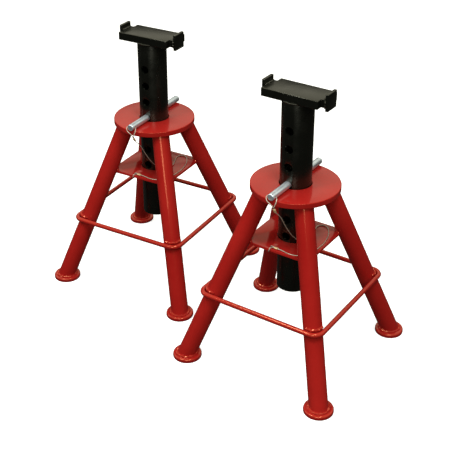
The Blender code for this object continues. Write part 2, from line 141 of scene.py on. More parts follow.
LEG_TOP = TOP_PLATE_BOTTOM - WELD_GAP
LEG_BOTTOM = FOOT_TOP + WELD_GAP
LEG_TOP_REACH = TOP_PLATE_RADIUS - LEG_RIM_INSET - LEG_DIAMETER / 2
LEG_SLOPE = (FOOT_CIRCLE - LEG_TOP_REACH) / (LEG_TOP - LEG_BOTTOM)
LEG_STRETCH = math.sqrt(1 + LEG_SLOPE**2)


def leg_reach(height):
    """Distance of a leg's centre line from the column's axis at a height."""
    return FOOT_CIRCLE - LEG_SLOPE * (height - LEG_BOTTOM)


def leg_turn(quarter):
    """Turns what is made along X onto the diagonal of a leg, the front one first."""
    return Matrix.Rotation(math.radians(-45 + 90 * quarter), 4, "Z")


def leg_matrix():
    """Leans an upright tube that starts at its foot, with its ends kept level."""
    lean = Matrix.Identity(4)
    lean[0][0] = LEG_STRETCH
    lean[0][2] = -LEG_SLOPE
    return Matrix.Translation((FOOT_CIRCLE, 0, LEG_BOTTOM)) @ lean


# ---------------------------------------------------------------- camera

CAMERA_AZIMUTH = math.radians(33.9)
CAMERA_PITCH = math.radians(26.7)
CAMERA_FROM_AXIS = Vector((0.935, -1.664, 1.434))
CAMERA_LENS = 80.0
CAMERA_SENSOR = 36.0
CAMERA_SHIFT = -0.144
CAMERA_FAR = 100.0


def make_camera():
    data = bpy.data.cameras.new("camera")
    data.lens = CAMERA_LENS
    data.sensor_width = CAMERA_SENSOR
    data.shift_y = CAMERA_SHIFT
    data.clip_end = CAMERA_FAR
    camera = bpy.data.objects.new("camera", data)
    camera.location = A_AXIS + CAMERA_FROM_AXIS
    camera.rotation_euler = (math.pi / 2 - CAMERA_PITCH, 0, CAMERA_AZIMUTH)
    scene.collection.objects.link(camera)
    scene.camera = camera


# ---------------------------------------------------------------- mesh tools

SMOOTH_ANGLE = math.radians(32)
BEVEL_ANGLE = math.radians(40)
ROUTE_STEPS = 40


def mesh_of(name, shape):
    """Turns a bmesh into a mesh, faces out and shaded smooth, with its sharp edges kept."""
    bmesh.ops.recalc_face_normals(shape, faces=shape.faces)
    mesh = bpy.data.meshes.new(name)
    shape.to_mesh(mesh)
    shape.free()
    mesh.shade_smooth()
    mesh.set_sharp_from_angle(angle=SMOOTH_ANGLE)
    return mesh


def arc(centre, radius, start, end, steps):
    """(radius, height) points of an arc in a turned profile, with angles in degrees from outward."""
    angles = [math.radians(start + (end - start) * i / steps) for i in range(steps + 1)]
    return [(centre[0] + radius * math.cos(a), centre[1] + radius * math.sin(a)) for a in angles]


def circle(radius, sides):
    """(x, y) points round a circle."""
    turns = [2 * math.pi * i / sides for i in range(sides)]
    return [(radius * math.cos(t), radius * math.sin(t)) for t in turns]


def lathe(profile, sides, closed=False):
    """A profile of (radius, height) points turned about Z, with a pole wherever its radius is 0."""
    shape = bmesh.new()
    rings = []
    for radius, height in profile:
        if radius == 0:
            rings.append([shape.verts.new((0, 0, height))] * sides)
            continue
        rings.append([shape.verts.new((x, y, height)) for x, y in circle(radius, sides)])
    pairs = list(zip(rings, rings[1:]))
    if closed:
        pairs.append((rings[-1], rings[0]))
    for upper, lower in pairs:
        for i in range(sides):
            j = (i + 1) % sides
            corners = []
            for corner in (upper[i], upper[j], lower[j], lower[i]):
                if corner not in corners:
                    corners.append(corner)
            if len(corners) > 2:
                shape.faces.new(corners)
    return shape


def box(shape, size, centre):
    matrix = Matrix.Translation(centre) @ Matrix.Diagonal((*size, 1))
    bmesh.ops.create_cube(shape, size=1, matrix=matrix)


def cylinder(shape, diameter, length, sides, matrix):
    radius = diameter / 2
    bmesh.ops.create_cone(
        shape, cap_ends=True, segments=sides, radius1=radius, radius2=radius, depth=length, matrix=matrix
    )


def carved(name, shape, cutter, bevel, segments=2):
    """The mesh of a shape after the cutter, if there is one, is taken from it and its edges are rounded."""
    body = bpy.data.objects.new(name, mesh_of(name, shape))
    scene.collection.objects.link(body)
    tools = [body]
    if cutter is not None:
        tool = bpy.data.objects.new(name + "_cutter", mesh_of(name + "_cutter", cutter))
        scene.collection.objects.link(tool)
        tools.append(tool)
        cut = body.modifiers.new("cut", "BOOLEAN")
        cut.operation = "DIFFERENCE"
        cut.object = tool
    rounding = body.modifiers.new("rounding", "BEVEL")
    rounding.width = bevel
    rounding.segments = segments
    rounding.limit_method = "ANGLE"
    rounding.angle_limit = BEVEL_ANGLE
    bpy.context.view_layer.update()
    graph = bpy.context.evaluated_depsgraph_get()
    made = bpy.data.meshes.new_from_object(body.evaluated_get(graph))
    for tool in tools:
        bpy.data.objects.remove(tool)
    made.name = name
    made.shade_smooth()
    made.set_sharp_from_angle(angle=SMOOTH_ANGLE)
    return made


def length_of(line):
    return sum((q - p).length for p, q in zip(line, line[1:]))


def smooth_route(points, spacing):
    """Evenly spaced points along a smooth Catmull-Rom curve through a route's own points."""
    route = [Vector(p) for p in points]
    padded = [2 * route[0] - route[1], *route, 2 * route[-1] - route[-2]]
    fine = []
    for a, b, c, d in zip(padded, padded[1:], padded[2:], padded[3:]):
        for i in range(ROUTE_STEPS):
            t = i / ROUTE_STEPS
            square = (2 * a - 5 * b + 4 * c - d) * t * t
            cube = (3 * b - a - 3 * c + d) * t**3
            fine.append(0.5 * (2 * b + (c - a) * t + square + cube))
    fine.append(route[-1])
    return spaced(fine, spacing)


def spaced(fine, spacing):
    """The same line with evenly spaced points."""
    total = length_of(fine)
    count = max(2, round(total / spacing))
    made, walked, step = [fine[0]], 0.0, total / count
    for p, q in zip(fine, fine[1:]):
        stretch = (q - p).length
        while walked + stretch >= step * len(made) and len(made) < count:
            made.append(p.lerp(q, (step * len(made) - walked) / stretch))
        walked += stretch
    return [*made, fine[-1]]


def sweep(line, section, up, closed=False):
    """A tube along a line. section(i, travelled) gives the (across, along up) points of its outline."""
    shape = bmesh.new()
    last = len(line) - 1
    normal, travelled, rings = Vector(up), 0.0, []
    for i, point in enumerate(line):
        before = line[i - 1] if i or closed else point
        after = line[(i + 1) % len(line)] if i < last or closed else point
        tangent = (after - before).normalized()
        normal = (normal - tangent * normal.dot(tangent)).normalized()
        side = tangent.cross(normal)
        if i:
            travelled += (point - line[i - 1]).length
        outline = section(i, travelled)
        rings.append([shape.verts.new(point + side * u + normal * v) for u, v in outline])
    pairs = list(zip(rings, rings[1:]))
    if closed:
        pairs.append((rings[-1], rings[0]))
    for here, there in pairs:
        for i in range(len(here)):
            j = (i + 1) % len(here)
            shape.faces.new((here[i], here[j], there[j], there[i]))
    if not closed:
        shape.faces.new(rings[0])
        shape.faces.new(rings[-1])
    return shape


# ---------------------------------------------------------------- materials


class Look:
    """A material under construction: its nodes, and a shorthand for adding and joining them."""

    def __init__(self, name):
        self.material = bpy.data.materials.new(name)
        self.material.use_nodes = True
        self.tree = self.material.node_tree
        self.shader = self.tree.nodes["Principled BSDF"]
        self.place = self.tree.nodes.new("ShaderNodeTexCoord").outputs["Object"]

    def constants(self, **values):
        for name, value in values.items():
            self.shader.inputs[name.replace("_", " ")].default_value = value

    def node(self, kind, settings=None, **values):
        made = self.tree.nodes.new("ShaderNode" + kind)
        for name, value in (settings or {}).items():
            setattr(made, name, value)
        for name, value in values.items():
            self.feed(made.inputs[name.replace("_", " ")], value)
        return made

    def feed(self, socket, value):
        if isinstance(value, bpy.types.NodeSocket):
            self.tree.links.new(value, socket)
        else:
            socket.default_value = value

    def noise(self, scale, detail=3.0, roughness=0.55, stretch=None):
        place = self.place
        if stretch:
            place = self.node("Mapping", Vector=place, Scale=stretch).outputs["Vector"]
        made = self.node("TexNoise", Vector=place, Scale=scale, Detail=detail, Roughness=roughness)
        return made.outputs["Fac"]

    def ramp(self, factor, low, high, start, end):
        """start to end as the factor goes from low to high."""
        limits = {"From_Min": low, "From_Max": high, "To_Min": start, "To_Max": end}
        return self.node("MapRange", Value=factor, **limits).outputs["Result"]

    def blend(self, factor, first, second):
        made = self.node("Mix", {"data_type": "RGBA"})
        self.feed(made.inputs[0], factor)
        self.feed(made.inputs[6], first)
        self.feed(made.inputs[7], second)
        return made.outputs[2]

    def bump(self, height, distance, strength=1.0, before=None):
        made = self.node("Bump", Height=height, Distance=distance, Strength=strength)
        if before is not None:
            self.feed(made.inputs["Normal"], before)
        return made.outputs["Normal"]

    def finish(self, color, roughness, normal):
        self.feed(self.shader.inputs["Base Color"], color)
        self.feed(self.shader.inputs["Roughness"], roughness)
        self.feed(self.shader.inputs["Normal"], normal)
        return self.material


# Each look drifts between two colours.
RED_COLORS = ((0.275, 0.009, 0.0075, 1), (0.335, 0.014, 0.011, 1))
RED_SHEEN = (1.0, 0.4, 0.2, 1)
RED_PEEL = 0.3
BLACK_COLORS = ((0.0012, 0.0015, 0.0012, 1), (0.0026, 0.003, 0.0024, 1))
BLACK_SHEEN = (1.0, 1.0, 0.8, 1)
BLACK_PEEL = 0.5
ENAMEL_IOR = 1.5
ZINC_COLORS = ((0.58, 0.66, 0.74, 1), (0.76, 0.84, 0.92, 1))
WIRE_COLORS = ((0.54, 0.47, 0.38, 1), (0.34, 0.30, 0.24, 1))
SLEEVE_COLORS = ((0.78, 0.56, 0.30, 1), (0.50, 0.34, 0.17, 1))


def enamel(name, colors, smooth, dull, shine, tint, peel):
    """Sprayed enamel: a slow drift in colour, orange peel, and patches that are a little duller.
    smooth and dull are its least and greatest roughness."""
    deep, bright = colors
    look = Look(name)
    look.constants(Specular_IOR_Level=shine, Specular_Tint=tint, IOR=ENAMEL_IOR)
    drift = look.ramp(look.noise(7.0, 4.0), 0.35, 0.68, 0.0, 1.0)
    mottle = look.ramp(look.noise(130.0, 2.0), 0.3, 0.7, 0.0, 0.25)
    color = look.blend(mottle, look.blend(drift, deep, bright), deep)
    roughness = look.ramp(look.noise(24.0, 5.0), 0.35, 0.7, smooth, dull)
    waves = look.bump(look.noise(60.0, 2.0), 0.0006, peel)
    skin = look.bump(look.noise(420.0, 2.0), 0.00018, peel, waves)
    return look.finish(color, roughness, skin)


def make_red_enamel(name, smooth, dull, shine):
    return enamel(name, RED_COLORS, smooth, dull, shine, RED_SHEEN, RED_PEEL)


def make_black_enamel():
    return enamel("black_enamel_satin", BLACK_COLORS, 0.2, 0.34, 0.5, BLACK_SHEEN, BLACK_PEEL)


def make_zinc():
    """Bright zinc plate on drawn bar: blue-grey mottle and fine lines along the pin."""
    look = Look("zinc_plate_drawn")
    look.constants(Metallic=0.9)
    cloud = look.ramp(look.noise(45.0, 5.0), 0.3, 0.7, 0.0, 1.0)
    color = look.blend(cloud, *ZINC_COLORS)
    lines = look.noise(900.0, 3.0, stretch=(1.0, 0.03, 1.0))
    roughness = look.ramp(lines, 0.3, 0.7, 0.3, 0.48)
    scratches = look.bump(lines, 0.00008, 0.5)
    return look.finish(color, roughness, scratches)


def make_wire():
    """Galvanised strand: warm grey, with darker grime in patches."""
    look = Look("steel_strand")
    look.constants(Metallic=0.6)
    grime = look.ramp(look.noise(350.0, 3.0), 0.35, 0.7, 0.0, 1.0)
    color = look.blend(grime, *WIRE_COLORS)
    roughness = look.ramp(look.noise(700.0, 2.0), 0.3, 0.7, 0.28, 0.45)
    return look.finish(color, roughness, look.bump(look.noise(2200.0, 2.0), 0.00004, 0.5))


def make_sleeve_metal():
    """Pressed sleeve: dull yellow metal with darker stains and the die's scuffs."""
    look = Look("pressed_sleeve")
    look.constants(Metallic=0.5)
    stain = look.ramp(look.noise(300.0, 4.0), 0.35, 0.65, 0.0, 1.0)
    color = look.blend(stain, *SLEEVE_COLORS)
    roughness = look.ramp(look.noise(800.0, 3.0), 0.3, 0.7, 0.34, 0.55)
    return look.finish(color, roughness, look.bump(look.noise(1500.0, 3.0), 0.00008, 0.6))


RED = make_red_enamel("red_enamel_gloss", 0.05, 0.12, 0.4)
# Thick wet runs of the same enamel on the beads, the ring and the feet.
WET_RED = make_red_enamel("red_enamel_wet", 0.04, 0.09, 0.9)
BLACK = make_black_enamel()
ZINC = make_zinc()
WIRE = make_wire()
SLEEVE = make_sleeve_metal()


def add_piece(stand, name, mesh, look, body, *nodes):
    """A piece made in the stand's frame, riding on one of its bodies and standing for CAD nodes."""
    mesh.transform(stand.matrix)
    mesh.materials.clear()
    mesh.materials.append(look)
    piece = bpy.data.objects.new(stand.node(name), mesh)
    scene.collection.objects.link(piece)
    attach(piece, stand.node(body))
    if nodes:
        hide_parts(*[stand.node(node) for node in nodes])
    return piece


# ---------------------------------------------------------------- tether

STRANDS = 6
STRAND_LAY = 0.011
STRAND_DEPTH = 0.22
STRAND_SIDES = 24
STRAND_UP = (0.3, 0.2, 1)
CABLE_SPACING = 0.0012
SLEEVE_RINGS = 28
SLEEVE_SIDES = 32
# A sleeve's size at its very ends, and how fast it grows to the whole along its length.
SLEEVE_END = 0.72
SLEEVE_END_GROWTH = 5.0
CRIMPS = 2
CRIMP_DEPTH = 0.16

# The route's own points repeat the CAD's, in the stand's frame.
WIRE_LIE = LOWER_PLATE_TOP + WIRE_DIAMETER / 2 + WELD_GAP
PIN_EYE = Vector((0, PIN_EYE_INSET - PIN_LENGTH / 2, PIN_HEIGHT))
PIN_SLEEVE_PLACE = PIN_EYE + Vector((0.0125, -0.0115, -0.0258))
PIN_SLEEVE_AXIS = Vector((0.16, 0.36, -0.92)).normalized()
PIN_LOOP_LEAD = 0.005
ANCHOR_HOLE = Vector((ANCHOR_SIDE, ANCHOR_EDGE_DISTANCE - LOWER_PLATE_HALF, 0))
ANCHOR_SLEEVE_LIFT = LOWER_PLATE_TOP + SLEEVE_DEPTH / 2 + WELD_GAP
ANCHOR_SLEEVE_PLACE = Vector((ANCHOR_HOLE.x + 0.0155, ANCHOR_HOLE.y - 0.0025, ANCHOR_SLEEVE_LIFT))
ANCHOR_SLEEVE_AXIS = Vector((1, -0.03, 0)).normalized()
ANCHOR_LOOP_LEAD = 0.003


def cable_route():
    """The slack cable: from the pin's sleeve down past the column, once round on the lower plate, and
    back along the plate's front edge to the anchor."""
    reach = SLEEVE_LENGTH / 2 + WELD_GAP
    start = PIN_SLEEVE_PLACE + PIN_SLEEVE_AXIS * reach
    end = ANCHOR_SLEEVE_PLACE + ANCHOR_SLEEVE_AXIS * reach
    return [
        start,
        (0.0195, -0.0920, 0.3860),
        (0.0255, -0.0780, 0.3570),
        (0.0320, -0.0620, 0.3310),
        (0.0400, -0.0440, 0.3120),
        (0.0450, -0.0240, 0.3005),
        (0.0450, -0.0020, WIRE_LIE + 0.0012),
        (0.0405, 0.0190, WIRE_LIE),
        (0.0325, 0.0380, WIRE_LIE),
        (0.0275, 0.0530, WIRE_LIE),
        (0.0285, 0.0640, WIRE_LIE),
        (0.0360, 0.0705, WIRE_LIE),
        (0.0465, 0.0680, WIRE_LIE),
        (0.0590, 0.0530, WIRE_LIE),
        (0.0680, 0.0330, WIRE_LIE),
        (0.0735, 0.0090, WIRE_LIE),
        (0.0745, -0.0150, WIRE_LIE),
        (0.0725, -0.0370, WIRE_LIE),
        (0.0680, -0.0560, WIRE_LIE),
        (0.0580, -0.0690, WIRE_LIE),
        (0.0440, -0.0760, WIRE_LIE),
        (0.0310, -0.0775, WIRE_LIE + 0.0002),
        (0.0185, end.y - 0.0012, end.z - 0.0006),
        end,
    ]


def pin_loop_route():
    """The loop through the pin's cross hole, with both ends at the pin's sleeve."""
    across = Vector((WIRE_DIAMETER / 2 + WELD_GAP, 0, 0))
    head = PIN_SLEEVE_PLACE - PIN_SLEEVE_AXIS * (SLEEVE_LENGTH / 2 + WELD_GAP)
    back = -PIN_SLEEVE_AXIS * PIN_LOOP_LEAD
    return [
        head + across,
        head + across + back / 2,
        head + across + back,
        PIN_EYE + Vector((0.0145, -0.0105, -0.0075)),
        PIN_EYE + Vector((0.0125, -0.0045, -0.0015)),
        PIN_EYE + Vector((0.0075, 0, 0)),
        PIN_EYE + Vector((-0.0075, 0, 0)),
        PIN_EYE + Vector((-0.0120, -0.0055, -0.0025)),
        PIN_EYE + Vector((-0.0065, -0.0120, -0.0080)),
        PIN_EYE + Vector((0.0035, -0.0140, -0.0125)),
        head - across + back,
        head - across + back / 2,
        head - across,
    ]


def anchor_loop_route():
    """The loop through the lower plate's hole and round its edge, both ends at the anchor's sleeve."""
    edge = -LOWER_PLATE_HALF
    clear = WIRE_DIAMETER / 2 + WELD_GAP
    under = LOWER_PLATE_BOTTOM - clear
    head = ANCHOR_SLEEVE_PLACE - ANCHOR_SLEEVE_AXIS * (SLEEVE_LENGTH / 2 + WELD_GAP)
    part = Vector((0, clear, 0))
    back = -ANCHOR_SLEEVE_AXIS * ANCHOR_LOOP_LEAD
    across = ANCHOR_HOLE.x
    return [
        head + part,
        head + part + back / 2,
        head + part + back,
        ANCHOR_HOLE + Vector((0.0015, 0, WIRE_LIE + 0.0008)),
        ANCHOR_HOLE + Vector((0, 0, WIRE_LIE - 0.003)),
        ANCHOR_HOLE + Vector((0, 0, under + 0.001)),
        ANCHOR_HOLE + Vector((0, -0.002, under - 0.0009)),
        Vector((across + 0.001, edge + 0.001, under - 0.0009)),
        Vector((across + 0.002, edge - clear - 0.0008, under + 0.003)),
        Vector((across + 0.003, edge - clear - 0.0008, WIRE_LIE - 0.003)),
        Vector((across + 0.0045, edge + 0.001, WIRE_LIE + 0.0012)),
        head - part + back,
        head - part + back / 2,
        head - part,
    ]


def strand_section(_, travelled):
    """Outline of a strand of round wires laid in a spiral."""
    spin = 2 * math.pi * travelled / STRAND_LAY
    outline = []
    for i in range(STRAND_SIDES):
        turn = 2 * math.pi * i / STRAND_SIDES
        bulge = abs(math.sin(STRANDS * (turn - spin) / 2))
        radius = WIRE_DIAMETER / 2 * (1 - STRAND_DEPTH * (1 - bulge))
        outline.append((radius * math.cos(turn), radius * math.sin(turn)))
    return outline


def strand(name, line):
    return mesh_of(name, sweep(line, strand_section, STRAND_UP))


def sleeve_section(i, _):
    """Outline of an oval sleeve, pressed in at its crimps and rounded at its ends."""
    share = i / SLEEVE_RINGS
    press = CRIMP_DEPTH * math.sin(math.pi * CRIMPS * share) ** 2
    ending = min(1.0, SLEEVE_END + SLEEVE_END_GROWTH * min(share, 1 - share))
    outline = []
    for k in range(SLEEVE_SIDES):
        turn = 2 * math.pi * k / SLEEVE_SIDES
        wide = SLEEVE_WIDTH / 2 * ending * math.cos(turn)
        deep = SLEEVE_DEPTH / 2 * ending * (1 - press) * math.sin(turn)
        outline.append((wide, deep))
    return outline


def make_sleeve(stand, name, place, axis, up, body):
    half = axis * (SLEEVE_LENGTH / 2)
    line = [(place - half).lerp(place + half, i / SLEEVE_RINGS) for i in range(SLEEVE_RINGS + 1)]
    mesh = mesh_of(name, sweep(line, sleeve_section, up))
    return add_piece(stand, name + "_crimped", mesh, SLEEVE, body, name)


def make_tether(stand):
    """The cable and what is on it. The pin's loop and sleeve go with the pin, the anchor's ride on the
    frame, and the cable itself is attached to neither.
    """
    line = [stand.matrix @ point for point in smooth_route(cable_route(), CABLE_SPACING)]
    mesh = strand("tether_cable", line)
    mesh.materials.append(WIRE)
    cable = bpy.data.objects.new(stand.node("tether_strand"), mesh)
    scene.collection.objects.link(cable)
    stand.node("frame")
    stand.node("pin")
    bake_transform(cable)
    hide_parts(stand.node("tether_cable"))

    pin_line = smooth_route(pin_loop_route(), CABLE_SPACING)
    anchor_line = smooth_route(anchor_loop_route(), CABLE_SPACING)
    pin_loop = strand("pin_loop", pin_line)
    anchor_loop = strand("anchor_loop", anchor_line)
    flat = PIN_SLEEVE_AXIS.cross(Vector((1, 0, 0)))
    along = [
        add_piece(stand, "pin_loop_strand", pin_loop, WIRE, "pin", "pin_loop"),
        add_piece(stand, "anchor_loop_strand", anchor_loop, WIRE, "frame", "anchor_loop"),
        make_sleeve(stand, "pin_sleeve", PIN_SLEEVE_PLACE, PIN_SLEEVE_AXIS, flat, "pin"),
        make_sleeve(stand, "anchor_sleeve", ANCHOR_SLEEVE_PLACE, ANCHOR_SLEEVE_AXIS, (0, 0, 1), "frame"),
    ]


# ---------------------------------------------------------------- weld beads

BEAD_PITCH = 0.0026
BEAD_STEPS = 5
BEAD_SIDES = 10
BEAD_RIPPLE = 0.22
BEAD_SWELL = 0.35
BEAD_LUMPS = 170
BEAD_WANDER = 0.0008
BEAD_WANDER_PACE = 210
BEAD_TIP = 0.35
BEAD_SEED = 1
# These keep two beads of different size or place from having the same lumps.
SIZE_SPREAD = 900
PLACE_SPREAD = 50

FOOT_BEAD = 0.0042
TOP_BEAD = 0.0032
SEAM_BEAD = 0.0024
RING_BEAD = 0.0038
SADDLE_BEAD = 0.0025
TAB_BEAD = 0.0030
TAB_SIDE_BEAD = 0.0024
# How far the middle of a bead lies outside the tube that it holds.
FOOT_BEAD_GAP = 0.0004
TOP_BEAD_GAP = 0.0002
SEAM_BEAD_GAP = 0.0006
RING_BEAD_GAP = 0.0006
SADDLE_BEAD_GAP = 0.0004
RING_BEAD_SPREAD = math.radians(62)
RING_BEAD_RISE = 0.0062
SEAM_EDGE_INSET = 0.001
LEG_RING_STEPS = 96
SADDLE_BEAD_STEPS = 96
TAB_BEAD_INSET = 0.0012
TAB_SIDE_BEAD_INSET = 0.002

# Without a seed, noise_vector takes its offsets from the clock and no two runs agree.
noise.seed_set(BEAD_SEED)


def bead(line, radius, up, closed=False):
    """A weld bead: a lumpy tube with a ripple at each step of the torch, tapered at open ends."""
    line = spaced([*line, line[0]] if closed else line, BEAD_PITCH / BEAD_STEPS)
    if closed:
        line = line[:-1]
    total = length_of(line)

    def section(_, travelled):
        step = travelled / BEAD_PITCH % 1
        seed = (travelled * BEAD_LUMPS, radius * SIZE_SPREAD, line[0].x * PLACE_SPREAD)
        swell = noise.noise(Vector(seed))
        size = radius * (1 - BEAD_RIPPLE * step + BEAD_SWELL * swell)
        if not closed:
            from_end = min(travelled, total - travelled)
            size *= BEAD_TIP + (1 - BEAD_TIP) * min(1.0, from_end / radius)
        return circle(size, BEAD_SIDES)

    wandering = [point + noise.noise_vector(point * BEAD_WANDER_PACE) * BEAD_WANDER for point in line]
    return mesh_of("bead", sweep(wandering, section, up, closed))


def leg_ring(height, grow, start=0.0, end=2 * math.pi):
    """Points round a leg at a height, a little outside it, in the frame of the leg's own diagonal."""
    steps = LEG_RING_STEPS
    along = LEG_DIAMETER / 2 * LEG_STRETCH + grow
    across = LEG_DIAMETER / 2 + grow
    centre = leg_reach(height)
    turns = [start + (end - start) * i / steps for i in range(steps + 1)]
    return [Vector((centre + along * math.cos(t), across * math.sin(t), height)) for t in turns]


def plate_seam(height):
    """The stretch of a leg's outline that runs in the lower plate's scallop."""
    inside = []
    for point in leg_ring(height, SEAM_BEAD_GAP, math.pi / 2, 3 * math.pi / 2):
        corner = Matrix.Rotation(math.pi / 4, 3, "Z") @ point
        if max(abs(corner.x), abs(corner.y)) < LOWER_PLATE_HALF - SEAM_EDGE_INSET:
            inside.append(point)
    return inside


def make_leg_welds(stand, quarter, side_name):
    """The beads that hold one leg to its foot, both plates and the ring."""
    turn = leg_turn(quarter)
    above, below = (
        leg_ring(RING_HEIGHT + rise, RING_BEAD_GAP, -RING_BEAD_SPREAD, RING_BEAD_SPREAD)
        for rise in (RING_BEAD_RISE, -RING_BEAD_RISE)
    )
    lines = {
        "foot": (leg_ring(FOOT_TOP, FOOT_BEAD_GAP)[:-1], FOOT_BEAD, True),
        "top": (leg_ring(LEG_TOP, TOP_BEAD_GAP)[:-1], TOP_BEAD, True),
        "seam_upper": (plate_seam(LOWER_PLATE_TOP), SEAM_BEAD, False),
        "seam_lower": (plate_seam(LOWER_PLATE_BOTTOM), SEAM_BEAD, False),
        "ring_upper": (above, RING_BEAD, False),
        "ring_lower": (below, RING_BEAD, False),
    }
    for name, (line, radius, closed) in lines.items():
        mesh = bead([turn @ point for point in line], radius, (0, 0, 1), closed)
        add_piece(stand, f"weld_{name}_{side_name}", mesh, WET_RED, "frame")


# ---------------------------------------------------------------- frame

PLATE_SIDES = 160
TUBE_SIDES = 96
SCALLOP_SIDES = 64
ANCHOR_HOLE_SIDES = 32
LEG_BANDS = 8
RING_SIDES = 32
RING_SIDE_STEPS = 24
RING_BEND_STEPS = 13
PLATE_EDGE = 0.0018
BORE_EDGE = 0.0008
LOWER_PLATE_EDGE = 0.0007
FOOT_EDGE = 0.004
FOOT_UNDER_EDGE = 0.001
FOOT_MIDDLE_SHARE = 0.6


def make_top_plate(stand):
    inner = GUIDE_BORE / 2
    top, bottom, rim = TOP_PLATE_TOP, TOP_PLATE_BOTTOM, TOP_PLATE_RADIUS - PLATE_EDGE
    profile = arc((inner + BORE_EDGE, top - BORE_EDGE), BORE_EDGE, 180, 90, 3)
    profile += arc((rim, top - PLATE_EDGE), PLATE_EDGE, 90, 0, 6)
    profile += arc((rim, bottom + PLATE_EDGE), PLATE_EDGE, 0, -90, 6)
    profile += arc((inner + BORE_EDGE, bottom + BORE_EDGE), BORE_EDGE, -90, -180, 3)
    mesh = mesh_of("top_plate", lathe(profile, PLATE_SIDES, closed=True))
    add_piece(stand, "top_plate_turned", mesh, RED, "frame", "top_plate")


def make_lower_plate(stand):
    thickness = LOWER_PLATE_TOP - LOWER_PLATE_BOTTOM
    middle = (LOWER_PLATE_TOP + LOWER_PLATE_BOTTOM) / 2
    side = 2 * LOWER_PLATE_HALF
    shape, cutter = bmesh.new(), bmesh.new()
    box(shape, (side, side, thickness), (0, 0, middle))
    cylinder(cutter, GUIDE_BORE, 3 * thickness, TUBE_SIDES, Matrix.Translation((0, 0, middle)))
    place = Matrix.Translation((ANCHOR_HOLE.x, ANCHOR_HOLE.y, middle))
    cylinder(cutter, ANCHOR_HOLE_DIAMETER, 3 * thickness, ANCHOR_HOLE_SIDES, place)
    for quarter in range(4):
        lean = leg_turn(quarter) @ leg_matrix()
        cylinder(cutter, LEG_DIAMETER + 2 * SCALLOP_CLEARANCE, 2 * LEG_TOP, SCALLOP_SIDES, lean)
    mesh = carved("lower_plate", shape, cutter, LOWER_PLATE_EDGE)
    add_piece(stand, "lower_plate_cut", mesh, RED, "frame", "lower_plate")


def make_leg(stand, quarter, side_name):
    outer, inner = LEG_DIAMETER / 2, LEG_DIAMETER / 2 - LEG_WALL
    length = LEG_TOP - LEG_BOTTOM
    heights = [length * i / LEG_BANDS for i in range(LEG_BANDS + 1)]
    profile = [(outer, height) for height in reversed(heights)] + [(inner, 0), (inner, length)]
    shape = lathe(profile, TUBE_SIDES, closed=True)
    bmesh.ops.transform(shape, matrix=leg_turn(quarter) @ leg_matrix(), verts=shape.verts)
    name = "leg_" + side_name
    add_piece(stand, name + "_tube", mesh_of(name, shape), RED, "frame", name)


def make_foot(stand, quarter, side_name):
    rim = FOOT_RADIUS - FOOT_EDGE
    profile = [(0, FOOT_TOP), (rim * FOOT_MIDDLE_SHARE, FOOT_TOP)]
    profile += arc((rim, FOOT_TOP - FOOT_EDGE), FOOT_EDGE, 90, 0, 10)
    profile += arc((FOOT_RADIUS - FOOT_UNDER_EDGE, FOOT_UNDER_EDGE), FOOT_UNDER_EDGE, 0, -90, 4)
    profile.append((0, 0))
    shape = lathe(profile, TUBE_SIDES)
    place = leg_turn(quarter) @ Matrix.Translation((FOOT_CIRCLE, 0, 0))
    bmesh.ops.transform(shape, matrix=place, verts=shape.verts)
    name = "foot_" + side_name
    add_piece(stand, name + "_pad", mesh_of(name, shape), WET_RED, "frame", name)


def make_ring(stand):
    """The rod ring in one piece, with a round bend outside each leg."""
    straight = RING_HALF - RING_BEND_RADIUS
    pace = 2 * straight / RING_SIDE_STEPS
    line = []
    for quarter in range(4):
        turn = Matrix.Rotation(math.pi / 2 * quarter, 3, "Z")
        side = [Vector((-straight + pace * i, -RING_HALF, 0)) for i in range(RING_SIDE_STEPS)]
        for i in range(RING_BEND_STEPS):
            angle = math.radians(-90 + 90 * i / RING_BEND_STEPS)
            bend = Vector((math.cos(angle), math.sin(angle), 0)) * RING_BEND_RADIUS
            side.append(Vector((straight, -straight, 0)) + bend)
        line += [turn @ point + Vector((0, 0, RING_HEIGHT)) for point in side]
    section = circle(RING_ROD_DIAMETER / 2, RING_SIDES)
    shape = sweep(line, lambda _, __: section, (0, 0, 1), closed=True)
    nodes = ["ring_rod_" + side_name for side_name in SIDES]
    add_piece(stand, "ring_bent", mesh_of("ring", shape), WET_RED, "frame", *nodes)


# ---------------------------------------------------------------- mast and pin

COLUMN_SIDES = 128
HOLE_SIDES = 48
HOLE_EDGE = 0.0009
SADDLE_EDGE = 0.0013
PIN_SIDES = 64
PIN_EYE_SIDES = 24
PIN_EYE_EDGE = 0.0003


def make_column(stand):
    outer, inner = COLUMN_DIAMETER / 2, COLUMN_DIAMETER / 2 - COLUMN_WALL
    profile = [(outer, COLUMN_TOP), (outer, COLUMN_BOTTOM), (inner, COLUMN_BOTTOM), (inner, COLUMN_TOP)]
    holes = bmesh.new()
    across = Matrix.Rotation(math.pi / 2, 4, "X")
    # The column hangs on its pin, which so lies at the top of its hole.
    pinned = PIN_HEIGHT - PIN_CLEARANCE + WELD_GAP
    for count in range(HOLE_COUNT):
        height = pinned + (PINNED_HOLE - count) * HOLE_PITCH
        place = Matrix.Translation((0, 0, height)) @ across
        cylinder(holes, HOLE_DIAMETER, 2 * COLUMN_DIAMETER, HOLE_SIDES, place)
    mesh = carved("column", lathe(profile, COLUMN_SIDES, closed=True), holes, HOLE_EDGE)
    add_piece(stand, "column_drilled", mesh, BLACK, "mast", "column")


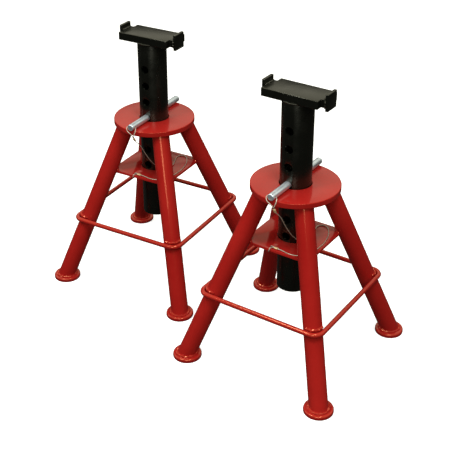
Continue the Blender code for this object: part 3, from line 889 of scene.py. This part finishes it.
def make_saddle(stand):
    thickness = SADDLE_TOP - SADDLE_BOTTOM
    middle = (SADDLE_TOP + SADDLE_BOTTOM) / 2
    shape, notches = bmesh.new(), bmesh.new()
    box(shape, (SADDLE_LENGTH, SADDLE_WIDTH, thickness), (0, 0, middle))
    for side in (1, -1):
        corner = (side * SADDLE_LENGTH / 2, -side * SADDLE_WIDTH / 2, middle)
        box(notches, (2 * NOTCH_LENGTH, 2 * NOTCH_WIDTH, 2 * thickness), corner)
    mesh = carved("saddle_plate", shape, notches, SADDLE_EDGE, 3)
    add_piece(stand, "saddle_plate_cut", mesh, BLACK, "mast", "saddle_plate")

    round_column = circle(COLUMN_DIAMETER / 2 + SADDLE_BEAD_GAP, SADDLE_BEAD_STEPS)
    line = [Vector((x, y, SADDLE_BOTTOM)) for x, y in round_column]
    add_piece(stand, "weld_saddle", bead(line, SADDLE_BEAD, (0, 0, 1), True), BLACK, "mast")
    for side, side_name in ((-1, "left"), (1, "right")):
        make_tab(stand, side, side_name)


def make_tab(stand, side, side_name):
    """An upright tab on the saddle's end, with its beads. Only a tab that hangs lower has one below."""
    name = "saddle_tab_" + side_name
    size = span("stand_a_" + name)
    low, high = (corner.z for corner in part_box("stand_a_" + name))
    centre = (side * (SADDLE_LENGTH / 2 + WELD_GAP + size.x / 2), 0, (low + high) / 2)
    shape = bmesh.new()
    box(shape, size, centre)
    add_piece(stand, name + "_bar", carved(name, shape, None, SADDLE_EDGE, 3), BLACK, "mast", name)

    end, reach = side * SADDLE_LENGTH / 2, size.y / 2
    across = reach - TAB_BEAD_INSET
    seams = {"foot": SADDLE_TOP}
    if low < SADDLE_BOTTOM - TAB_BEAD:
        seams["under"] = SADDLE_BOTTOM
    for seam_name, height in seams.items():
        line = [Vector((end - side * TAB_BEAD_INSET, y, height)) for y in (-across, across)]
        piece = bead(line, TAB_BEAD, (0, 0, 1))
        add_piece(stand, f"weld_tab_{side_name}_{seam_name}", piece, BLACK, "mast")
    heights = (SADDLE_BOTTOM + TAB_SIDE_BEAD_INSET, SADDLE_TOP - TAB_SIDE_BEAD_INSET)
    for edge, edge_name in ((-1, "near"), (1, "far")):
        line = [Vector((end, edge * reach, height)) for height in heights]
        piece = bead(line, TAB_SIDE_BEAD, (0, 1, 0))
        add_piece(stand, f"weld_tab_{side_name}_{edge_name}", piece, BLACK, "mast")


def make_locking_pin(stand):
    radius, half, chamfer = PIN_DIAMETER / 2, PIN_LENGTH / 2, PIN_CHAMFER
    profile = [(0, half), (radius - chamfer, half), (radius, half - chamfer)]
    profile += [(radius, chamfer - half), (radius - chamfer, -half), (0, -half)]
    lay = Matrix.Translation((0, 0, PIN_HEIGHT)) @ Matrix.Rotation(math.pi / 2, 4, "X")
    shape = lathe(profile, PIN_SIDES)
    bmesh.ops.transform(shape, matrix=lay, verts=shape.verts)
    eye = bmesh.new()
    place = Matrix.Translation(PIN_EYE) @ Matrix.Rotation(math.pi / 2, 4, "Y")
    cylinder(eye, PIN_EYE_DIAMETER, 2 * PIN_DIAMETER, PIN_EYE_SIDES, place)
    mesh = carved("locking_pin", shape, eye, PIN_EYE_EDGE)
    add_piece(stand, "locking_pin_turned", mesh, ZINC, "pin", "locking_pin")


# ---------------------------------------------------------------- studio

FLOOR_SIZE = 30.0
FLOOR_BOUNCE = 0.03
FLOOR_GLOW = 0.5
FLOOR_TINT = (0.88, 0.94, 1.0, 1)
FLOOR_COLOR = (0.9, 0.9, 0.9, 1)
FLOOR_ROUGHNESS = 0.9
FLOOR_DROP = 0.0002
# (height on the unit sphere, strength): the dome rises from the first to the second.
SKY_STOPS = ((0.2, 0.03), (0.42, 1.0))
SKY_COLOR = (1.0, 0.96, 0.78, 1)
BACKDROP = 1.5
LIGHT_TARGET = Vector((0, 0, 0.3))
# (name, place, size, watts) of each softbox.
LIGHTS = (
    ("left_key", (-0.7, -1.1, 2.5), 0.6, 24),
    ("right_key", (1.1, -0.6, 2.5), 0.6, 28),
    ("front_softbox", (1.4, -2.8, 1.7), 1.0, 30),
    ("left_softbox", (-2.6, -1.2, 1.5), 1.2, 10),
)


def make_floor():
    """A pale floor that bounces little light back up, and is paler to the camera than to the stands."""
    shape = bmesh.new()
    bmesh.ops.create_grid(shape, x_segments=1, y_segments=1, size=FLOOR_SIZE / 2)
    look = bpy.data.materials.new("pale_floor")
    look.use_nodes = True
    tree = look.node_tree
    shader = tree.nodes["Principled BSDF"]
    shader.inputs["Base Color"].default_value = FLOOR_COLOR
    shader.inputs["Roughness"].default_value = FLOOR_ROUGHNESS
    shader.inputs["Specular IOR Level"].default_value = 0.0
    shader.inputs["Emission Color"].default_value = FLOOR_TINT
    shader.inputs["Emission Strength"].default_value = FLOOR_GLOW
    dim = tree.nodes.new("ShaderNodeBsdfDiffuse")
    dim.inputs["Color"].default_value = (FLOOR_BOUNCE, FLOOR_BOUNCE, FLOOR_BOUNCE, 1)
    mix = tree.nodes.new("ShaderNodeMixShader")
    path = tree.nodes.new("ShaderNodeLightPath")
    tree.links.new(path.outputs["Is Camera Ray"], mix.inputs["Fac"])
    tree.links.new(dim.outputs["BSDF"], mix.inputs[1])
    tree.links.new(shader.outputs["BSDF"], mix.inputs[2])
    tree.links.new(mix.outputs["Shader"], tree.nodes["Material Output"].inputs["Surface"])
    mesh = mesh_of("floor", shape)
    mesh.materials.append(look)
    floor = bpy.data.objects.new("floor", mesh)
    floor.location.z = -FLOOR_DROP
    scene.collection.objects.link(floor)


def make_sky():
    """A soft dome, dim at the horizon and full from 25 degrees up, seen by the camera as plain white."""
    world = bpy.data.worlds.new("studio")
    scene.world = world
    world.use_nodes = True
    tree = world.node_tree
    nodes, links = tree.nodes, tree.links
    split = nodes.new("ShaderNodeSeparateXYZ")
    links.new(nodes.new("ShaderNodeTexCoord").outputs["Generated"], split.inputs[0])
    band = nodes.new("ShaderNodeValToRGB")
    for stop, (height, level) in zip(band.color_ramp.elements, SKY_STOPS):
        stop.position = height
        stop.color = (level, level, level, 1)
    links.new(split.outputs["Z"], band.inputs["Fac"])
    path = nodes.new("ShaderNodeLightPath")
    seen = nodes.new("ShaderNodeMix")
    links.new(path.outputs["Is Camera Ray"], seen.inputs[0])
    links.new(band.outputs["Color"], seen.inputs[2])
    seen.inputs[3].default_value = BACKDROP
    links.new(seen.outputs[0], nodes["Background"].inputs["Strength"])
    nodes["Background"].inputs["Color"].default_value = SKY_COLOR


def make_light(name, place, size, power):
    """A square softbox turned to the middle of the pair."""
    data = bpy.data.lights.new(name, "AREA")
    data.shape = "SQUARE"
    data.size = size
    data.energy = power
    light = bpy.data.objects.new(name, data)
    light.location = place
    light.rotation_euler = (LIGHT_TARGET - Vector(place)).to_track_quat("-Z", "Y").to_euler()
    scene.collection.objects.link(light)


def make_studio():
    make_floor()
    make_sky()
    for name, place, size, power in LIGHTS:
        make_light(name, place, size, power)
    scene.view_settings.view_transform = "Standard"


def make_stand(label):
    stand = Stand(label)
    make_tether(stand)
    make_top_plate(stand)
    make_lower_plate(stand)
    for quarter, side_name in enumerate(SIDES):
        make_leg(stand, quarter, side_name)
        make_foot(stand, quarter, side_name)
        make_leg_welds(stand, quarter, side_name)
    make_ring(stand)
    make_column(stand)
    make_saddle(stand)
    make_locking_pin(stand)


make_camera()
for stand_label in STANDS:
    make_stand(stand_label)
make_studio()

bpy.context.view_layer.update()
